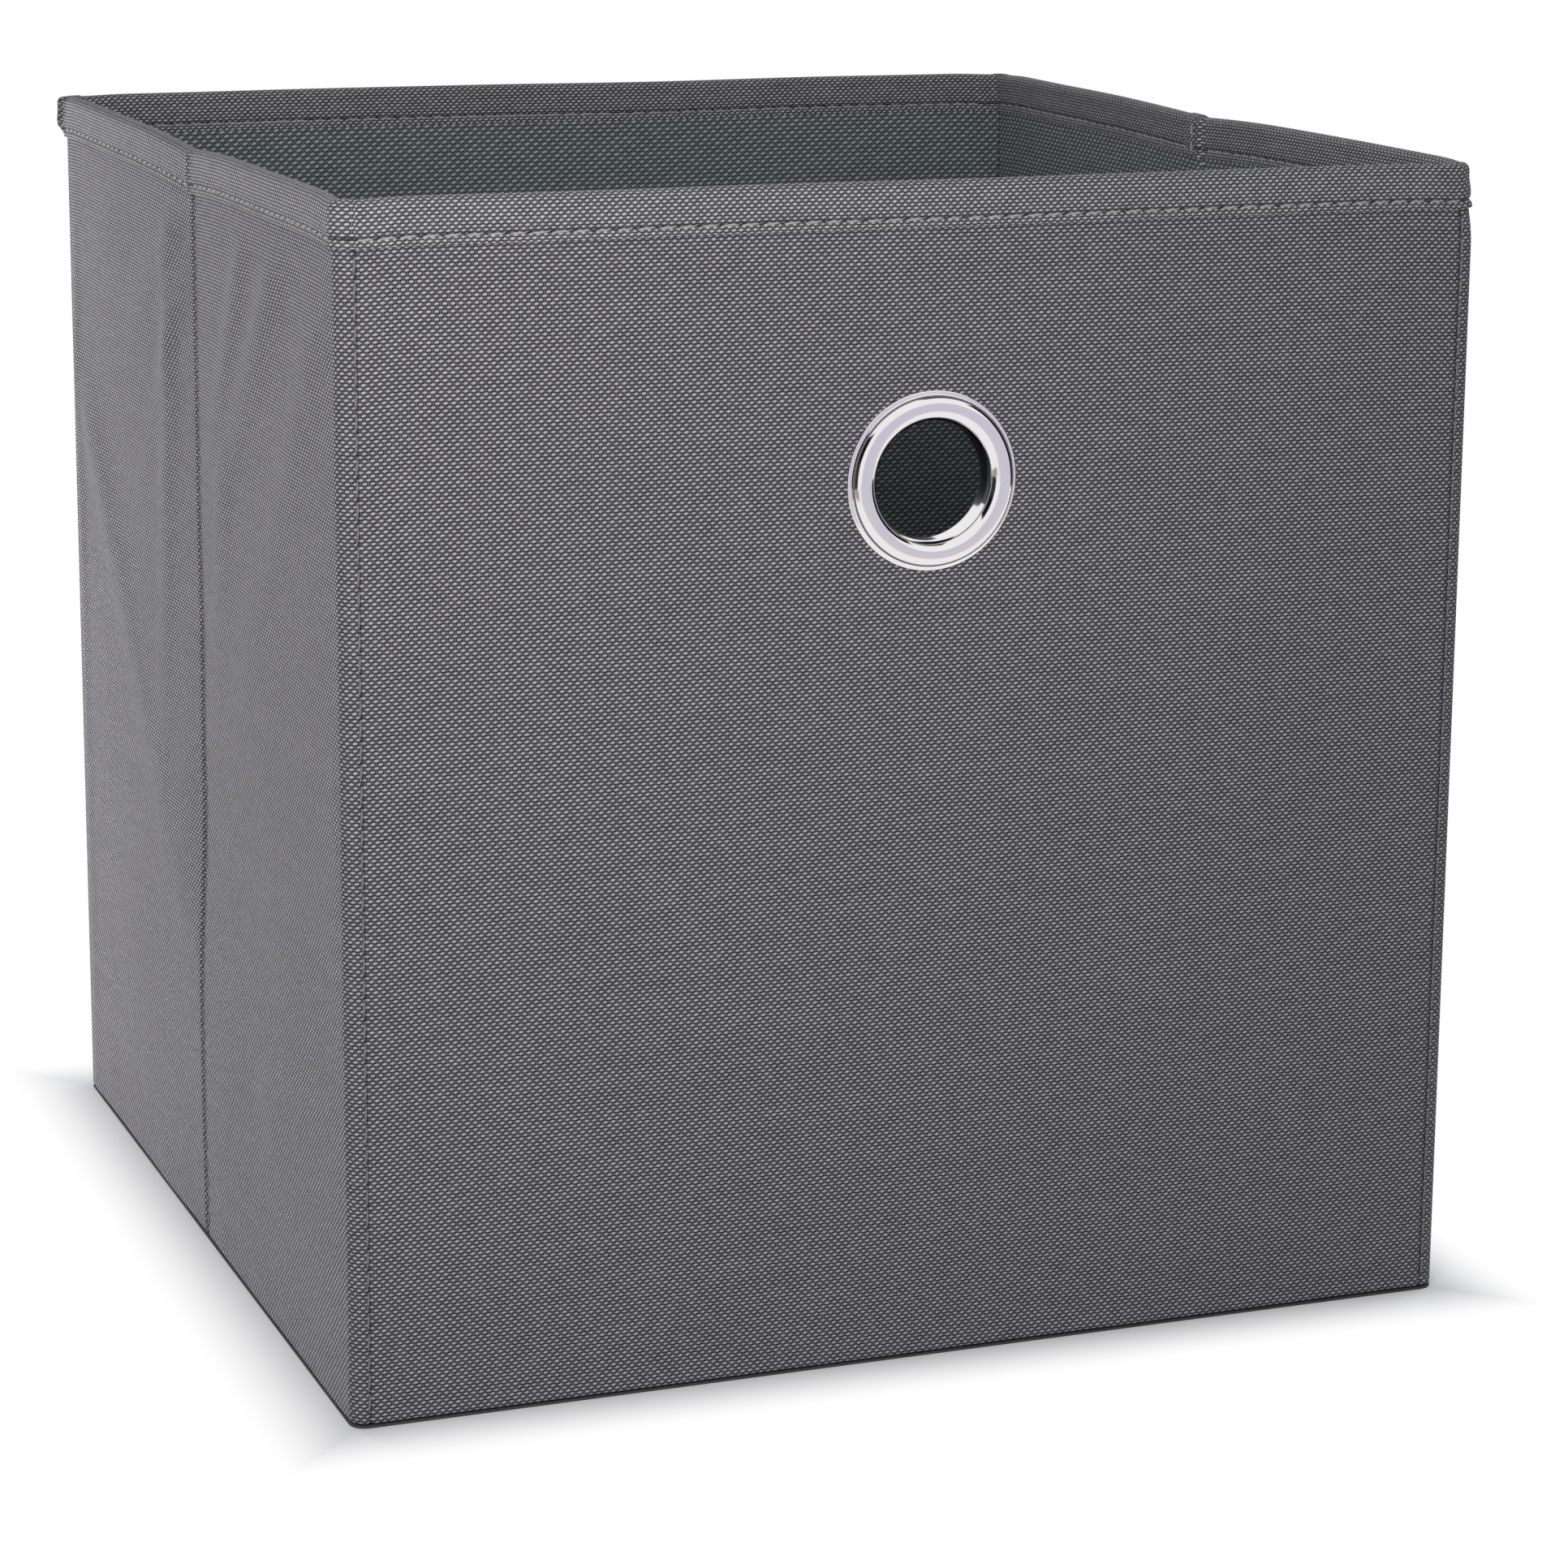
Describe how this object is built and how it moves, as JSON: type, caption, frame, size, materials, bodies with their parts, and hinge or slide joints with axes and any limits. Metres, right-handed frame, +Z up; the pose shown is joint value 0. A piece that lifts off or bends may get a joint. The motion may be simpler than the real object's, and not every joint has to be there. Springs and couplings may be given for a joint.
{
  "type": "fabric storage bin",
  "caption": "Square open-topped cloth storage bin with a metal eyelet as finger hole, folding side walls and a lift-out base insert",
  "frame": {"origin": "middle of the underside", "axes": "+Z up, -Y towards the front wall with the eyelet, +X to the right seen from the front"},
  "size_m": [0.32, 0.322, 0.32],
  "materials": {
    "outer_cloth": "matte",
    "lining": "matte",
    "board": "matte",
    "binding": "matte",
    "base_cloth": "matte",
    "insert_cover": "matte",
    "eyelet": "polished"
  },
  "bodies": {
    "base": {"back_outer_cloth": "outer_cloth", "back_board": "board", "back_lining": "lining", "back_binding": "binding", "base_cloth": "base_cloth"},
    "left_rear": {"left_rear_outer_cloth": "outer_cloth", "left_rear_board": "board", "left_rear_lining": "lining", "left_rear_binding": "binding"},
    "left_front": {"left_front_outer_cloth": "outer_cloth", "left_front_board": "board", "left_front_lining": "lining", "left_front_binding": "binding"},
    "front": {"front_outer_cloth": "outer_cloth", "front_board": "board", "front_lining": "lining", "front_binding": "binding", "eyelet_ring": "eyelet", "eyelet_washer": "eyelet"},
    "right_rear": {"right_rear_outer_cloth": "outer_cloth", "right_rear_board": "board", "right_rear_lining": "lining", "right_rear_binding": "binding"},
    "right_front": {"right_front_outer_cloth": "outer_cloth", "right_front_board": "board", "right_front_lining": "lining", "right_front_binding": "binding"},
    "insert": {"insert_board": "board", "insert_cover": "insert_cover"}
  },
  "joints": [
    {"name": "fold", "type": "hinge", "parent": "base", "child": "left_rear", "pos_m": [-0.1544, 0.1544, 0], "axis": [0, 0, 1], "range_deg": [0, 89], "deforming": ["base_cloth"]},
    {"name": "left_middle_fold", "type": "hinge", "parent": "left_rear", "child": "left_front", "pos_m": [-0.1602, 0, 0], "axis": [0, 0, 1], "range_deg": [-178, 0]},
    {"name": "front_left_fold", "type": "hinge", "parent": "left_front", "child": "front", "pos_m": [-0.1544, -0.1544, 0], "axis": [0, 0, 1], "range_deg": [0, 89]},
    {"name": "right_rear_fold", "type": "hinge", "parent": "base", "child": "right_rear", "pos_m": [0.1544, 0.1544, 0], "axis": [0, 0, 1], "range_deg": [-89, 0]},
    {"name": "right_middle_fold", "type": "hinge", "parent": "right_rear", "child": "right_front", "pos_m": [0.1602, 0, 0], "axis": [0, 0, 1], "range_deg": [0, 178]},
    {"name": "insert_lift", "type": "slide", "parent": "base", "child": "insert", "axis": [0, 0, 1], "range_m": [0, 0.33]}
  ],
  "couplings": [
    {"joint": "left_middle_fold", "follows": "fold", "ratio": -2},
    {"joint": "front_left_fold", "follows": "fold", "ratio": 1},
    {"joint": "right_rear_fold", "follows": "fold", "ratio": -1},
    {"joint": "right_middle_fold", "follows": "fold", "ratio": 2}
  ]
}
